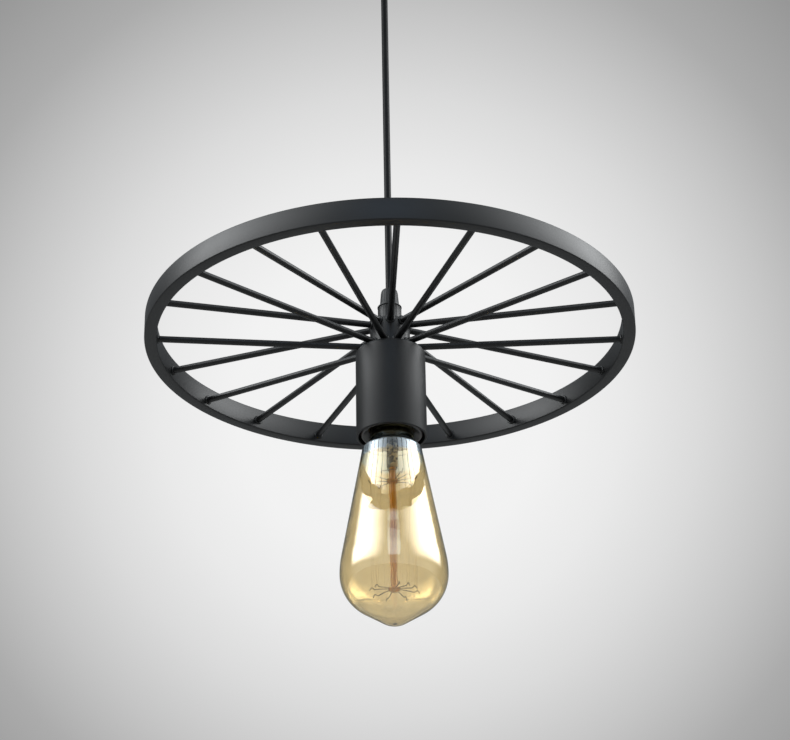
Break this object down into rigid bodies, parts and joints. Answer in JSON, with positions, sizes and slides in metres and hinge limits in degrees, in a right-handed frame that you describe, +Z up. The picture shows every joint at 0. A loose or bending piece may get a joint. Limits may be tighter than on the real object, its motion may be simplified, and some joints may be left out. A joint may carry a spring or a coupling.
{
  "type": "pendant lamp",
  "caption": "Pendant lamp: flat black wheel of round spokes in two tiers round a hub, socket cup below with a caged-filament bulb, hung on a round flex from a ceiling cup.",
  "frame": {"origin": "middle of the ceiling bracket's upper face, midway between its two screw slots, on the ceiling", "axes": "+Z up, along the flex and the lamp's axis; the lamp hangs towards -Z; +X along the bracket's strip, from slot to slot; -Y towards the viewer of the picture"},
  "size_m": [0.3, 0.3, 0.5115],
  "materials": {
    "satin_black": "satin black powder coat",
    "grip_black": "moulded black plastic with a soft sheen",
    "flex_black": "smooth round PVC flex",
    "seal_rubber": "matt rubber",
    "core_insulation": "coloured PVC insulation",
    "block_white": "off-white moulded plastic",
    "zinc_steel": "bright zinc plate",
    "phenolic": "black phenolic moulding",
    "ceramic": "unglazed ceramic",
    "brass": "drawn brass sheet, darkened with age",
    "solder": "dull solder",
    "black_glass": "black glass insulator",
    "amber_glass": "clear glass with an amber lustre",
    "stem_glass": "clear glass",
    "rod_glass": "amber glass rod",
    "hook_wire": "oxidised nickel wire",
    "filament_wire": "carbon-brown filament wire"
  },
  "bodies": {
    "ceiling": {"ceiling_bracket": "zinc_steel", "canopy": "satin_black", "canopy_screws": "satin_black", "terminal_block": "block_white", "terminal_screws": "zinc_steel", "canopy_nipple": "zinc_steel", "canopy_locknut": "zinc_steel", "canopy_grip_body": "grip_black", "canopy_grip_nut": "grip_black", "canopy_grip_seal": "seal_rubber", "ceiling_flex_end": "flex_black", "ceiling_cores": "core_insulation"},
    "flex_bend": {"cord_bend": "flex_black"},
    "pendant": {"cord": "flex_black", "hub_grip_body": "grip_black", "hub_grip_nut": "grip_black", "hub_grip_seal": "seal_rubber", "hub_nipple": "zinc_steel", "hub": "satin_black", "rim": "satin_black", "upper_spoke_01": "satin_black", "upper_spoke_02": "satin_black", "upper_spoke_03": "satin_black", "upper_spoke_04": "satin_black", "upper_spoke_05": "satin_black", "upper_spoke_06": "satin_black", "upper_spoke_07": "satin_black", "upper_spoke_08": "satin_black", "upper_spoke_09": "satin_black", "upper_spoke_10": "satin_black", "lower_spoke_01": "satin_black", "lower_spoke_02": "satin_black", "lower_spoke_03": "satin_black", "lower_spoke_04": "satin_black", "lower_spoke_05": "satin_black", "lower_spoke_06": "satin_black", "lower_spoke_07": "satin_black", "lower_spoke_08": "satin_black", "lower_spoke_09": "satin_black", "lower_spoke_10": "satin_black", "socket_cup": "satin_black", "cup_nut": "zinc_steel", "lampholder_cap": "phenolic", "lampholder_skirt": "phenolic", "contact_plate": "ceramic", "screw_shell": "brass", "centre_contact": "brass", "lamp_flex_end": "flex_black", "lamp_cores": "core_insulation"},
    "bulb_travel": {"bulb_tip": "solder"},
    "bulb": {"bulb_cap": "brass", "cap_insulator": "black_glass", "bulb_glass": "amber_glass", "glass_stem": "stem_glass", "stem_rod": "rod_glass", "upper_hooks": "hook_wire", "lower_hooks": "hook_wire", "lead_wires": "hook_wire", "filament": "filament_wire"}
  },
  "joints": [
    {"name": "swing_front_back", "type": "hinge", "parent": "ceiling", "child": "flex_bend", "pos_m": [0, 0, -0.05], "axis": [1, 0, 0], "range_deg": [-30, 30]},
    {"name": "swing_side_to_side", "type": "hinge", "parent": "flex_bend", "child": "pendant", "pos_m": [0, 0, -0.05], "axis": [0, 1, 0], "range_deg": [-30, 30]},
    {"name": "bulb_advance", "type": "slide", "parent": "pendant", "child": "bulb_travel", "axis": [0, 0, -1], "range_m": [0, 0.0182]},
    {"name": "bulb_turn", "type": "hinge", "parent": "bulb_travel", "child": "bulb", "pos_m": [0, 0, -0.42], "axis": [0, 0, -1], "range_deg": [0, 1800]}
  ],
  "couplings": [
    {"joint": "bulb_advance", "follows": "bulb_turn", "m_per_rad": 0.00057757}
  ]
}
